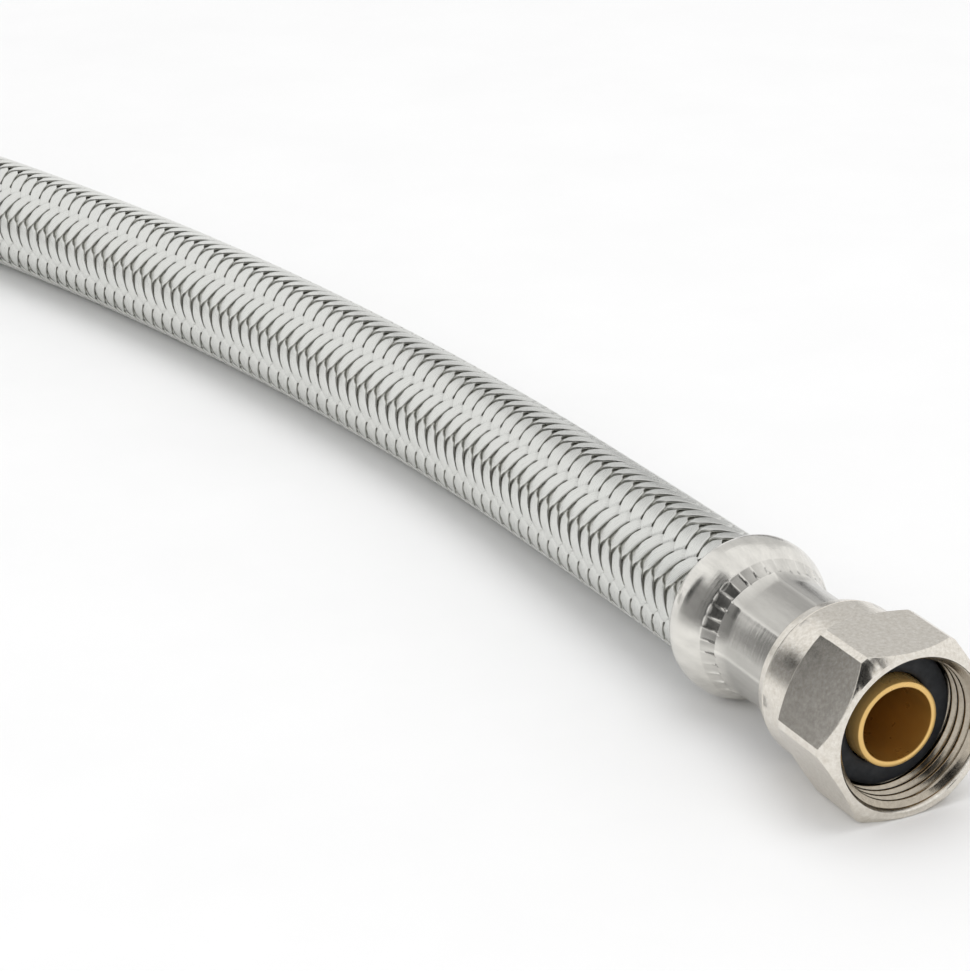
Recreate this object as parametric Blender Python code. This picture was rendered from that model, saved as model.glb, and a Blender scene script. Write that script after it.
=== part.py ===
"""Braided stainless steel supply line: a flexible hose with a swivel nut fitting on each end.

World frame: metres, +Z up, the line lying on the plane Z = 0. The near nut's mouth looks along -Y,
and the origin is on the middle of its lower flat. The hose runs back along +Y and curves round to -X,
where the far nut's mouth looks along -X.

Each fitting is built in a frame of its own: its origin is the centre of the nut's mouth, its local +Z
is the axis going in from the mouth to the hose, and its local +X is up. A place along that axis is
called a depth. Lengths below are in millimetres, and MM turns them into metres.
"""
import math

import bmesh
import bpy
from mathutils import Matrix, Vector

MM = 0.001

# Swivel nut: turned from hexagon bar, for a 9/16 inch thread of 24 turns to the inch
NUT_ACROSS_FLATS = 16.0
NUT_CORNER_RADIUS = 9.04
NUT_FACE_RADIUS = 7.9
NUT_LENGTH = 13.75
HEX_CORNER_START = 1.1
HEX_CORNER_END = 7.55
HEX_REAR_SLOPE = 0.85
COLLAR_RADIUS = 7.7
COLLAR_REAR_RADIUS = 7.32
COLLAR_TAPER_LENGTH = 1.55
COLLAR_EDGE_ROUND = 0.25
COLLAR_EDGE_START = 10
THREAD_MAJOR_RADIUS = 7.145
THREAD_MINOR_RADIUS = 6.6
MOUTH_RADIUS = 7.35
MOUTH_CHAMFER = 0.4
NUT_SEAT_ROUND = 0.5
BAR_OVERRUN = 1.0

# Insert: a turned brass tube with a nose, a flange that holds the nut, and a barbed stem
NOSE_DEPTH = 2.35
NOSE_RIM_RADIUS = 4.06
NOSE_BASE_RADIUS = 4.19
NOSE_BORE_RADIUS = 3.5
NOSE_BORE_LENGTH = 8.0
FLANGE_THICKNESS = 1.6
NECK_TUBE_RADIUS = 5.0
STEM_WALL = 0.36
BARB_HEIGHT = 0.24
BARB_PITCH = 2.4
BARB_FALL = 0.25
BARB_TAIL = 0.8
BARB_COUNT = 5
STEM_END_MARGIN = 1.6

# Washer: a soft ring round the nose, pressed by the male fitting
SEAT_DEPTH = 3.9
WASHER_THICKNESS = 2.5
WASHER_EDGE_ROUND = 0.25

# Ferrule: a drawn cup, squeezed on the hose by eight dies, with its open end rolled down
FERRULE_WALL = 0.5
NECK_FLAT_RADIUS = 5.95
NECK_RIDGE_HEIGHT = 0.25
NECK_LENGTH = 7.2
SHOULDER_LENGTH = 6.0
BULGE_RISE = 1.5
BULGE_FLAT_LENGTH = 0.3
LIP_LENGTH = 1.75
LIP_WALL = 0.25
CUP_EDGE_ROUND = 0.45
DIE_COUNT = 8

# Hose: an inner tube of soft rubber inside a sleeve of braided wire
HOSE_DIAMETER = 13.0
BRAID_WALL = 0.35
LINER_WALL = 1.1
TUBE_BEVEL_RESOLUTION = 4
TUBE_SIDES = 4 + 2 * TUBE_BEVEL_RESOLUTION

# Clearances
SWIVEL_CLEARANCE = 0.3
FACE_GAP = 0.3
SLIP_CLEARANCE = 0.15
SQUEEZE_CLEARANCE = 0.1
FLOOR_CLEARANCE = 0.05

# Facets
NUT_SEGMENTS = 36
INSERT_SEGMENTS = 28
FERRULE_SEGMENTS = 40
SHOULDER_RINGS = 6
LIP_RINGS = 5
ROUTE_STEPS = 2

# Sizes that follow from the ones above
HOSE_RADIUS = HOSE_DIAMETER / 2
LINER_RADIUS = HOSE_RADIUS - BRAID_WALL - SQUEEZE_CLEARANCE
FLANGE_RADIUS = THREAD_MINOR_RADIUS - SLIP_CLEARANCE
REAR_HOLE_RADIUS = NECK_TUBE_RADIUS + SWIVEL_CLEARANCE
WASHER_BACK = SEAT_DEPTH + WASHER_THICKNESS
FLANGE_FRONT = WASHER_BACK + FACE_GAP
FLANGE_BACK = FLANGE_FRONT + FLANGE_THICKNESS
NUT_SEAT_DEPTH = FLANGE_BACK + SWIVEL_CLEARANCE
FERRULE_FRONT = NUT_LENGTH + FACE_GAP
SHOULDER_START = FERRULE_FRONT + NECK_LENGTH
BULGE_START = SHOULDER_START + SHOULDER_LENGTH
BULGE_END = BULGE_START + BULGE_FLAT_LENGTH
FERRULE_BACK = BULGE_END + LIP_LENGTH
NECK_INNER_RADIUS = NECK_FLAT_RADIUS - FERRULE_WALL
BULGE_RADIUS = HOSE_RADIUS + BULGE_RISE
LIP_INNER_RADIUS = HOSE_RADIUS + SLIP_CLEARANCE
SQUEEZED_HOSE_RADIUS = NECK_INNER_RADIUS - SQUEEZE_CLEARANCE
SQUEEZED_LINER_RADIUS = SQUEEZED_HOSE_RADIUS - BRAID_WALL - SQUEEZE_CLEARANCE
SIDE_FACTOR = math.cos(math.pi / TUBE_SIDES)
BARB_RADIUS = (SQUEEZED_LINER_RADIUS - LINER_WALL) * SIDE_FACTOR - SQUEEZE_CLEARANCE
STEM_RADIUS = BARB_RADIUS - BARB_HEIGHT
STEM_BORE_RADIUS = STEM_RADIUS - STEM_WALL
CUP_HOLE_RADIUS = BARB_RADIUS + SLIP_CLEARANCE
HOSE_START = FERRULE_FRONT + FERRULE_WALL + FACE_GAP
AXIS_HEIGHT = max(NUT_ACROSS_FLATS / 2, BULGE_RADIUS)
HOSE_HEIGHT = HOSE_RADIUS + FLOOR_CLEARANCE
ORIGIN_DEPTH = (HEX_CORNER_START + HEX_CORNER_END) / 2

# The hose's own route, chosen by hand: x, distance back from the near ferrule's open end, and the
# share of the way that it has sunk from the fittings' axis height to the floor
ROUTE = [
    (0.0, 26.45, 0.45),
    (-0.2, 49.15, 0.97),
    (-2.3, 71.75, 1.0),
    (-5.5, 94.25, 1.0),
    (-9.8, 116.55, 1.0),
    (-15.2, 138.55, 1.0),
    (-21.7, 160.35, 1.0),
    (-29.9, 181.55, 1.0),
    (-41.0, 201.25, 1.0),
    (-55.9, 218.35, 1.0),
    (-74.2, 231.55, 1.0),
    (-95.0, 240.35, 1.0),
    (-117.3, 244.35, 0.97),
    (-141.5, 245.15, 0.45),
]
ROUTE_END = (-166.45, 245.15, 0.0)

MATERIALS = {
    "nickel_plate": ((0.66, 0.64, 0.60), 0.32, 1.0),
    "stainless_sheet": ((0.70, 0.69, 0.67), 0.30, 1.0),
    "braid_wire": ((0.68, 0.68, 0.66), 0.38, 1.0),
    "brass": ((0.72, 0.47, 0.16), 0.30, 1.0),
    "black_rubber": ((0.02, 0.021, 0.023), 0.75, 0.0),
    "liner_rubber": ((0.05, 0.05, 0.052), 0.6, 0.0),
}


def clear_scene():
    for old in list(bpy.data.objects):
        bpy.data.objects.remove(old, do_unlink=True)


def material(name):
    """One Principled material for a kind of surface, made once."""
    found = bpy.data.materials.get(name)
    if found:
        return found
    color, roughness, metallic = MATERIALS[name]
    made = bpy.data.materials.new(name)
    made.use_nodes = True
    shader = made.node_tree.nodes["Principled BSDF"]
    shader.inputs["Base Color"].default_value = (*color, 1.0)
    shader.inputs["Roughness"].default_value = roughness
    shader.inputs["Metallic"].default_value = metallic
    return made


def link(name, data, slot, parent=None):
    made = bpy.data.objects.new(name, data)
    bpy.context.scene.collection.objects.link(made)
    made.data.materials.append(material(slot))
    made.parent = parent
    return made


def mesh_object(name, bm, slot, parent):
    bmesh.ops.recalc_face_normals(bm, faces=bm.faces)
    mesh = bpy.data.meshes.new(name)
    bm.to_mesh(mesh)
    bm.free()
    mesh.shade_smooth()
    mesh.set_sharp_from_angle(angle=math.radians(30))
    return link(name, mesh, slot, parent)


def smooth_share(share):
    return share * share * (3 - 2 * share)


def arc(depth, radius, size, start, end, steps=2):
    """Points of a rounding of one size about a centre, from one angle to another in degrees.

    An angle of 0 points away from the axis, and 90 points along it.
    """
    points = []
    for k in range(steps + 1):
        angle = math.radians(start + (end - start) * k / steps)
        points.append((depth + size * math.sin(angle), radius + size * math.cos(angle)))
    return points


def turned(name, outline, segments, slot, parent):
    """A closed outline of (depth, radius) points, spun about the fitting's axis."""
    bm = bmesh.new()
    ring = [bm.verts.new((radius * MM, 0, depth * MM)) for depth, radius in outline]
    edges = [bm.edges.new((a, b)) for a, b in zip(ring, ring[1:] + ring[:1])]
    bmesh.ops.spin(bm, geom=ring + edges, cent=(0, 0, 0), axis=(0, 0, 1),
                   angle=math.tau, steps=segments, use_merge=True)
    return mesh_object(name, bm, slot, parent)


def hexagon_bar(name, parent):
    """The bar that the nut is turned from, as a cutter: one flat's normal is the local +X."""
    bm = bmesh.new()
    corner = NUT_ACROSS_FLATS / 2 / math.cos(math.pi / 6) * MM
    angles = [math.radians(30 + 60 * k) for k in range(6)]
    start = -BAR_OVERRUN * MM
    base = [bm.verts.new((corner * math.cos(a), corner * math.sin(a), start)) for a in angles]
    face = bm.faces.new(base)
    grown = bmesh.ops.extrude_face_region(bm, geom=[face])["geom"]
    tops = [item for item in grown if isinstance(item, bmesh.types.BMVert)]
    bmesh.ops.translate(bm, vec=(0, 0, (NUT_LENGTH + 2 * BAR_OVERRUN) * MM), verts=tops)
    bar = mesh_object(name, bm, "nickel_plate", parent)
    bar.hide_render = True
    bar.display_type = "WIRE"
    return bar


def swivel_nut(end, parent):
    front_slope = (NUT_CORNER_RADIUS - NUT_FACE_RADIUS) / HEX_CORNER_START
    rear_drop = NUT_CORNER_RADIUS - COLLAR_RADIUS
    edge = COLLAR_EDGE_ROUND
    outline = [
        (0.0, MOUTH_RADIUS),
        (0.0, NUT_CORNER_RADIUS - front_slope * HEX_CORNER_START),
        (HEX_CORNER_START, NUT_CORNER_RADIUS),
        (HEX_CORNER_END, NUT_CORNER_RADIUS),
        (HEX_CORNER_END + rear_drop * HEX_REAR_SLOPE, COLLAR_RADIUS),
        (NUT_LENGTH - COLLAR_TAPER_LENGTH, COLLAR_RADIUS),
    ]
    outline += arc(NUT_LENGTH - edge, COLLAR_REAR_RADIUS - edge, edge, COLLAR_EDGE_START, 90)
    outline += [
        (NUT_LENGTH, REAR_HOLE_RADIUS),
        (NUT_SEAT_DEPTH, REAR_HOLE_RADIUS),
        (NUT_SEAT_DEPTH, THREAD_MAJOR_RADIUS - NUT_SEAT_ROUND),
        (NUT_SEAT_DEPTH - NUT_SEAT_ROUND, THREAD_MAJOR_RADIUS),
        (MOUTH_CHAMFER, THREAD_MAJOR_RADIUS),
    ]
    nut = turned(end + "_swivel_nut", outline, NUT_SEGMENTS, "nickel_plate", parent)
    cut = nut.modifiers.new("hexagon", "BOOLEAN")
    cut.operation = "INTERSECT"
    cut.solver = "EXACT"
    cut.object = hexagon_bar(end + "_hexagon_cutter", parent)
    return nut


def washer(end, parent):
    edge = WASHER_EDGE_ROUND
    inner = NOSE_BASE_RADIUS + SLIP_CLEARANCE
    outer = THREAD_MINOR_RADIUS - SLIP_CLEARANCE
    outline = [(SEAT_DEPTH, inner)]
    outline += arc(SEAT_DEPTH + edge, outer - edge, edge, -90, 0)
    outline += [(WASHER_BACK, outer), (WASHER_BACK, inner)]
    return turned(end + "_washer", outline, INSERT_SEGMENTS, "black_rubber", parent)


def barbs():
    """Saw-tooth outline of the stem, rising gently and falling steeply towards the nut."""
    points = []
    last = FERRULE_BACK - STEM_END_MARGIN
    for k in range(BARB_COUNT):
        crest = last - BARB_TAIL - BARB_PITCH * (BARB_COUNT - 1 - k)
        points.append((crest - BARB_FALL, STEM_RADIUS))
        points.append((crest, BARB_RADIUS))
    points.append((last, STEM_RADIUS))
    return points


def insert(end, parent):
    tube_end = FERRULE_FRONT - FACE_GAP
    step = NOSE_DEPTH + NOSE_BORE_LENGTH
    outline = [
        (NOSE_DEPTH, NOSE_BORE_RADIUS),
        (NOSE_DEPTH, NOSE_RIM_RADIUS),
        (SEAT_DEPTH, NOSE_BASE_RADIUS),
        (FLANGE_FRONT, NOSE_BASE_RADIUS),
        (FLANGE_FRONT, FLANGE_RADIUS),
        (FLANGE_BACK, FLANGE_RADIUS),
        (FLANGE_BACK, NECK_TUBE_RADIUS),
        (tube_end, NECK_TUBE_RADIUS),
        (tube_end, STEM_RADIUS),
    ]
    outline += barbs()
    outline += [
        (FERRULE_BACK - STEM_END_MARGIN, STEM_BORE_RADIUS),
        (step + NOSE_BORE_RADIUS - STEM_BORE_RADIUS, STEM_BORE_RADIUS),
        (step, NOSE_BORE_RADIUS),
    ]
    return turned(end + "_insert", outline, INSERT_SEGMENTS, "brass", parent)


def flank(start, length, low, high, rings):
    """Points of a smooth S-shaped flank that goes from one radius to another."""
    points = []
    for k in range(1, rings + 1):
        share = k / rings
        points.append((start + length * share, low + (high - low) * smooth_share(share)))
    return points


def rolled_end(length, bulge, edge):
    """Points of the open end: a quarter round from the bulge in to the hose."""
    points = []
    for k in range(1, LIP_RINGS + 1):
        angle = math.pi / 2 * k / LIP_RINGS
        points.append((BULGE_END + length * math.sin(angle), edge + (bulge - edge) * math.cos(angle)))
    return points


def ferrule_outside():
    points = arc(FERRULE_FRONT + CUP_EDGE_ROUND, NECK_FLAT_RADIUS - CUP_EDGE_ROUND,
                 CUP_EDGE_ROUND, -90, 0)
    points.append((SHOULDER_START, NECK_FLAT_RADIUS))
    points += flank(SHOULDER_START, SHOULDER_LENGTH, NECK_FLAT_RADIUS, BULGE_RADIUS, SHOULDER_RINGS)
    points.append((BULGE_END, BULGE_RADIUS))
    points += rolled_end(LIP_LENGTH, BULGE_RADIUS, LIP_INNER_RADIUS + LIP_WALL)
    return points


def ferrule_inside():
    bulge = BULGE_RADIUS - FERRULE_WALL
    points = [(FERRULE_FRONT + FERRULE_WALL, NECK_INNER_RADIUS), (SHOULDER_START, NECK_INNER_RADIUS)]
    points += flank(SHOULDER_START, SHOULDER_LENGTH, NECK_INNER_RADIUS, bulge, SHOULDER_RINGS)
    points.append((BULGE_END, bulge))
    points += rolled_end(LIP_LENGTH - LIP_WALL, bulge, LIP_INNER_RADIUS)
    points.append((FERRULE_BACK, LIP_INNER_RADIUS))
    points.reverse()
    return points


def die_radius(radius, depth, angle):
    """Outer radius where the dies have pressed flats, with a ridge left between two dies."""
    pitch = math.tau / DIE_COUNT
    off = (angle + pitch / 2) % pitch - pitch / 2
    ridge = NECK_FLAT_RADIUS + NECK_RIDGE_HEIGHT
    proud = min(NECK_FLAT_RADIUS / math.cos(off), ridge) - NECK_FLAT_RADIUS
    fade = min(max((BULGE_START - depth) / SHOULDER_LENGTH, 0.0), 1.0)
    start = min(max((depth - FERRULE_FRONT) / CUP_EDGE_ROUND, 0.0), 1.0)
    return radius * (1 + proud / NECK_FLAT_RADIUS * smooth_share(fade) * start)


def ferrule(end, parent):
    """Lofted from rings: die flats outside, plain round inside, joined at the cup's hole."""
    outside = ferrule_outside()
    inside = ferrule_inside()
    hole = [(FERRULE_FRONT + FERRULE_WALL, CUP_HOLE_RADIUS), (FERRULE_FRONT, CUP_HOLE_RADIUS)]
    bm = bmesh.new()
    rings = []
    for place, (depth, radius) in enumerate(outside + inside + hole):
        ring = []
        for k in range(FERRULE_SEGMENTS):
            angle = math.tau * k / FERRULE_SEGMENTS
            r = die_radius(radius, depth, angle) if place < len(outside) else radius
            ring.append(bm.verts.new((r * math.cos(angle) * MM, r * math.sin(angle) * MM, depth * MM)))
        rings.append(ring)
    for lower, upper in zip(rings, rings[1:] + rings[:1]):
        for k in range(FERRULE_SEGMENTS):
            n = (k + 1) % FERRULE_SEGMENTS
            bm.faces.new((lower[k], lower[n], upper[n], upper[k]))
    return mesh_object(end + "_ferrule", bm, "stainless_sheet", parent)


def fitting_frame(end, mouth, inward):
    """An empty at the nut's mouth: local +Z goes in, and local +X is up."""
    up = Vector((0, 0, 1))
    side = Vector(inward).cross(up)
    turn = Matrix((up, side, Vector(inward))).transposed()
    frame = bpy.data.objects.new(end + "_fitting", None)
    bpy.context.scene.collection.objects.link(frame)
    frame.matrix_world = Matrix.Translation(Vector(mouth) * MM) @ turn.to_4x4()
    return frame


def fitting(end, mouth, inward):
    frame = fitting_frame(end, mouth, inward)
    swivel_nut(end, frame)
    washer(end, frame)
    insert(end, frame)
    ferrule(end, frame)


def route_points():
    """The free hose's centre line from lip to lip: a smooth curve read at even shares."""
    near_lip = FERRULE_BACK - ORIGIN_DEPTH
    sink = AXIS_HEIGHT - HOSE_HEIGHT
    knots = [Vector((0, near_lip, AXIS_HEIGHT))]
    knots += [Vector((x, near_lip + y, AXIS_HEIGHT - sink * down)) for x, y, down in ROUTE + [ROUTE_END]]
    lead = (knots[1] - knots[0]).length
    before = knots[0] - Vector((0, lead, 0))
    after = knots[-1] - Vector((lead, 0, 0))
    line = [before] + knots + [after]
    points = []
    for k in range(1, len(line) - 2):
        for step in range(ROUTE_STEPS):
            points.append(spline_point(line[k - 1:k + 3], step / ROUTE_STEPS))
    points.append(knots[-1])
    return points


def spline_point(four, share):
    """A point between the middle two of four knots, on a curve that passes through all of them."""
    a, b, c, d = four
    out = (c - a) / 2
    into = (d - b) / 2
    s2, s3 = share ** 2, share ** 3
    return (b * (2 * s3 - 3 * s2 + 1) + out * (s3 - 2 * s2 + share)
            + c * (3 * s2 - 2 * s3) + into * (s3 - s2))


def squeezed_depths():
    """Depths and squeeze, 1 where the ferrule grips the hose and 0 where the hose is free."""
    places = [(HOSE_START, 1.0), (SHOULDER_START, 1.0)]
    for k in range(1, SHOULDER_RINGS, 2):
        share = (k + 1) / SHOULDER_RINGS
        places.append((SHOULDER_START + SHOULDER_LENGTH * share, 1 - smooth_share(share)))
    return places


def tube(name, path, radii, wall, slot):
    """A hollow tube along the path: a bevelled curve with its wall turned inwards."""
    free_radius = max(radii)
    curve = bpy.data.curves.new(name, "CURVE")
    curve.dimensions = "3D"
    curve.bevel_depth = free_radius * MM
    curve.bevel_resolution = TUBE_BEVEL_RESOLUTION
    curve.use_fill_caps = False
    spline = curve.splines.new("POLY")
    spline.points.add(len(path) - 1)
    for point, place, radius in zip(spline.points, path, radii):
        point.co = (*(place * MM), 1)
        point.radius = radius / free_radius
    made = link(name, curve, slot)
    skin = made.modifiers.new("wall", "SOLIDIFY")
    skin.thickness = wall * MM
    skin.offset = -1
    return made


def hose():
    """The inner tube and the braid, from inside one ferrule to inside the other."""
    free = route_points()
    gripped = squeezed_depths()
    near = [Vector((0, depth - ORIGIN_DEPTH, AXIS_HEIGHT)) for depth, squeeze in gripped]
    far = [free[-1] - Vector((FERRULE_BACK - depth, 0, 0)) for depth, squeeze in gripped]
    path = near + free + far[::-1]
    shares = [s for d, s in gripped] + [0.0] * len(free) + [s for d, s in gripped][::-1]
    braid = [HOSE_RADIUS + (SQUEEZED_HOSE_RADIUS - HOSE_RADIUS) * s for s in shares]
    liner = [LINER_RADIUS + (SQUEEZED_LINER_RADIUS - LINER_RADIUS) * s for s in shares]
    tube("braid_sleeve", path, braid, BRAID_WALL, "braid_wire")
    tube("inner_tube", path, liner, LINER_WALL, "liner_rubber")
    return free[-1]


def main():
    clear_scene()
    far_lip = hose()
    fitting("near", (0, -ORIGIN_DEPTH, AXIS_HEIGHT), (0, 1, 0))
    fitting("far", far_lip - Vector((FERRULE_BACK, 0, 0)), (1, 0, 0))
    bpy.context.view_layer.update()


main()
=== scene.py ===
"""Braided stainless steel supply line with a swivel nut fitting on each end, lying on a pale floor.

World frame: metres, +Z up. The near nut's mouth looks along -Y and the far nut's along -X.
The object's lengths are in millimetres, and MM turns them into metres; its angles are in degrees.
Each fitting is built in a frame of its own: origin at the centre of the nut's mouth, local +Z going
in along the axis, local +X up. An outline is a list of (depth along that axis, radius). The places
and sizes of the floor, the lamps and the cards are in metres.
"""
import math

import bpy
import numpy as np
from mathutils import Matrix, Vector

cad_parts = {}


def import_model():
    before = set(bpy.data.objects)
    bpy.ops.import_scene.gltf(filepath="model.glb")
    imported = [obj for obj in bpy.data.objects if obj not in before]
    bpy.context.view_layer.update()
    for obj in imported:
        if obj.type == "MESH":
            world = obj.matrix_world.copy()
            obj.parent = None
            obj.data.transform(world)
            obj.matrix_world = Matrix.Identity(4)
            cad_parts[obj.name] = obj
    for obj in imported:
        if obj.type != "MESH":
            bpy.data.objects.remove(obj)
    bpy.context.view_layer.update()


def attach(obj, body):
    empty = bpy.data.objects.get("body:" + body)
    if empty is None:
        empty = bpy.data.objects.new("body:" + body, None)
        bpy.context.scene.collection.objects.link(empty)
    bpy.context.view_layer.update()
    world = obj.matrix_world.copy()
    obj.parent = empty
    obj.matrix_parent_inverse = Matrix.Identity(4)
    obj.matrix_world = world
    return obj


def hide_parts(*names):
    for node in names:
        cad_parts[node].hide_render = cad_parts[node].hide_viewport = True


MM = 0.001

# Places shared with the solids
AXIS_HEIGHT = 8.0
HOSE_RADIUS = 6.5
HOSE_HEIGHT = 6.55
ORIGIN_DEPTH = 4.325
FERRULE_BACK = 29.3
NEAR_MOUTH = (0.0, -ORIGIN_DEPTH, AXIS_HEIGHT)
FAR_LIP = (-166.45, 270.125, AXIS_HEIGHT)
FAR_MOUTH = (FAR_LIP[0] - FERRULE_BACK, FAR_LIP[1], AXIS_HEIGHT)
NEAR_LIP_Y = FERRULE_BACK - ORIGIN_DEPTH

# The hose's knots from the near lip: x, y and how far it has sunk from the axis to its lying height
ROUTE = [
    (0.0, 26.45, 0.45),
    (-0.2, 49.15, 0.97),
    (-2.3, 71.75, 1.0),
    (-5.5, 94.25, 1.0),
    (-9.8, 116.55, 1.0),
    (-15.2, 138.55, 1.0),
    (-21.7, 160.35, 1.0),
    (-29.9, 181.55, 1.0),
    (-41.0, 201.25, 1.0),
    (-55.9, 218.35, 1.0),
    (-74.2, 231.55, 1.0),
    (-95.0, 240.35, 1.0),
    (-117.3, 244.35, 0.97),
    (-141.5, 245.15, 0.45),
]
ROUTE_END = (-166.45, 245.15, 0.0)
KNOT_SAMPLES = 24
ROUTE_STEP = 0.5

# Braid: flat ribbons of fine wire, twelve each way, each over two and under two. BRAID_TURN is the
# tangent of the ribbons' angle to the hose, BRAID_PHASE and BRAID_LEAD place the pattern, and the
# braid starts at the depth BRAID_START inside each ferrule.
RIBBONS = 12
BRAID_TURN = 1.62
BRAID_PHASE = -88.0
BRAID_LEAD = 0.78
BRAID_START = 27.8

# A ribbon's edges lie RIBBON_COVER of the pitch from its middle, and it rises and sinks by
# RIBBON_RISE. Where its wires bunch together, its two halves narrow by the pinches.
RIBBON_THICKNESS = 0.24
RIBBON_COVER = 0.462
RIBBON_RISE = 0.13
UPPER_PINCH = 0.68
LOWER_PINCH = 0.48

# The pattern sways round the hose by up to BEND, in this many waves counted from BEND_FROM
BENDS_ROUND = 6
BEND = 2.6
BEND_FROM = -65.5

# Liner inside the braid
LINER_RADIUS = 6.0
LINER_WALL = 1.1
LINER_STEP = 2.0
LINER_SIDES = 48

# Swivel nut: a hexagon with turned corners, a collar behind it and a stepped bore. FRONT_SLOPE is
# radius per depth and REAR_SLOPE depth per radius. REAR_ROUND steps forward from the nut's end and
# down from COLLAR_REAR_RADIUS.
ACROSS_FLATS = 16.0
CORNER_RADIUS = 9.04
FACE_RADIUS = 7.9
NUT_LENGTH = 13.75
FRONT_SLOPE = 1.036
HEX_END = 7.55
REAR_SLOPE = 0.85
COLLAR_RADIUS = 7.7
COLLAR_MIDDLE = 10.4
TAPER_START = 12.2
COLLAR_REAR_RADIUS = 7.32
REAR_ROUND = [(0.21, 0.0), (0.12, 0.04), (0.05, 0.1), (0.01, 0.18), (0.0, 0.27)]
MOUTH_RADIUS = 7.38
REAR_HOLE_RADIUS = 5.3
NUT_SEAT_DEPTH = 8.6
NUT_EDGE = 0.06
HOLE_EDGE = 0.08
SEAT_CORNER = 0.5

# The nut's thread: one helical ridge, which fades over THREAD_RUN_OUT degrees at each end and
# under the mouth's chamfer. Its foot lies THREAD_CLEARANCE behind the bore's wall.
THREAD_MAJOR = 7.145
THREAD_MINOR = 6.6
THREAD_CLEARANCE = 0.03
THREAD_PITCH = 1.058
THREAD_START = 0.42
THREAD_TURNS = 5.6
THREAD_TURN_STEPS = 72
THREAD_RUN_OUT = 50
MOUTH_SLOPE = 0.9

# Washer
SEAT_DEPTH = 3.9
WASHER_BACK = 6.4
WASHER_RADIUS = 6.45
WASHER_HOLE_RADIUS = 4.31

# Insert: nose, flange, shank in the nut's rear hole, and barbed stem inside the hose
NOSE_DEPTH = 2.35
NOSE_RADIUS = 4.06
NOSE_ROOT_RADIUS = 4.19
NOSE_BORE_RADIUS = 3.5
NOSE_ROUND = 0.07
BORE_STEP_DEPTH = 10.35
STEM_BORE_RADIUS = 2.97
FLANGE_FRONT = 6.7
FLANGE_BACK = 8.3
FLANGE_RADIUS = 6.45
SHANK_RADIUS = 5.0
SHANK_END = 13.75
STEM_RADIUS = 3.33
STEM_END = 27.7
BARBS = 5
BARB_RADIUS = 3.57
BARB_LENGTH = 0.25
FIRST_BARB = 17.3
BARB_PITCH = 2.4
INSERT_EDGE = 0.05

# Ferrule: neck with die flats, shoulder with a ring of die marks, bulge and end turned in
FERRULE_FRONT = 14.05
FERRULE_HOLE_RADIUS = 3.72
FRONT_ROUND = 0.45
SHEET = 0.5
NECK_RADIUS = 5.95
SHOULDER_START = 21.25
BULGE_START = 27.25
BULGE_END = 27.55
BULGE_RADIUS = 8.0
END_ROUND = 1.1
END_HOLE_RADIUS = 6.65

# The neck's dies: the metal swells between two of them to a narrow crest, worn and brightened by a
# painted highlight
DIES = 8
RIDGE_ANGLE = -46.5
RIDGE_HEIGHT = 0.06
CREST_WIDTH = 0.32
WORN_SHEEN_WIDTH = 0.3
NECK_FADE = 1.3

# The shoulder's ring of die marks: flat teeth, each pressed in deeper towards its front
TEETH = 36
TOOTH_STEPS = 8
TOOTH_COVER = 0.45
TOOTH_PRESS = 0.03
TOOTH_SLOPE = 0.09375
MARKS_START = 22.8
MARKS_END = 24.38
MARK_EDGE = 0.08

# The die marks' painted shade is darkest round the angle below and faintest from FAINT_FROM degrees
# away from it
DARKEST_MARKS_ANGLE = -52.0
FAINT_FROM = 48
FAINT_FADE = 22
FAINTEST = 0.25

# Sides of a round piece, and the angle in degrees from which an edge is shaded sharp
ROUND_SIDES = 96
SHARP_ANGLE = 50

# Camera: place and lens in millimetres, and the directions of the picture's right and up
CAMERA_PLACE = (-147.784, -216.786, 141.452)
CAMERA_RIGHT = (0.89045, -0.45482, -0.01533)
CAMERA_UP = (0.19102, 0.34297, 0.91972)
FOCAL_LENGTH = 123.41
SENSOR_WIDTH = 36.0

# Soft-edged cards beside a fitting, in its own frame: name, place (up, out and along the axis),
# width, height, shade and core
FITTING_CARDS = [
    ("grey_flat", (0.016, 0.034, 0.0385), 0.038, 0.042, 0.30, 0.6),
    ("dark_collar", (0.023, 0.032, 0.0445), 0.015, 0.032, 0.0, 0.45),
]


def spline_point(four, share):
    """A point between the middle two of four knots, on a curve that passes through all of them."""
    a, b, c, d = four
    out = (c - a) / 2
    into = (d - b) / 2
    s2, s3 = share ** 2, share ** 3
    return (b * (2 * s3 - 3 * s2 + 1) + out * (s3 - 2 * s2 + share)
            + c * (3 * s2 - 2 * s3) + into * (s3 - s2))


def hose_line(tuck, step):
    """Evenly spaced points of the hose's centre line, running on into both ferrules by tuck."""
    sink = AXIS_HEIGHT - HOSE_HEIGHT
    knots = [Vector((0, NEAR_LIP_Y, AXIS_HEIGHT))]
    for x, y, down in ROUTE + [ROUTE_END]:
        knots.append(Vector((x, NEAR_LIP_Y + y, AXIS_HEIGHT - sink * down)))
    lead = (knots[1] - knots[0]).length
    line = [knots[0] - Vector((0, lead, 0))] + knots + [knots[-1] - Vector((lead, 0, 0))]
    points = [knots[0] - Vector((0, tuck, 0))]
    for k in range(1, len(line) - 2):
        shares = np.arange(KNOT_SAMPLES) / KNOT_SAMPLES
        points += [spline_point(line[k - 1:k + 3], float(share)) for share in shares]
    points += [knots[-1], knots[-1] - Vector((tuck, 0, 0))]
    points = np.array([tuple(p) for p in points])
    along = np.concatenate([[0], np.cumsum(np.linalg.norm(np.diff(points, axis=0), axis=1))])
    count = int(round(along[-1] / step)) + 1
    at = np.linspace(0, along[-1], count)
    return np.stack([np.interp(at, along, points[:, k]) for k in range(3)], axis=1), at


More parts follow.
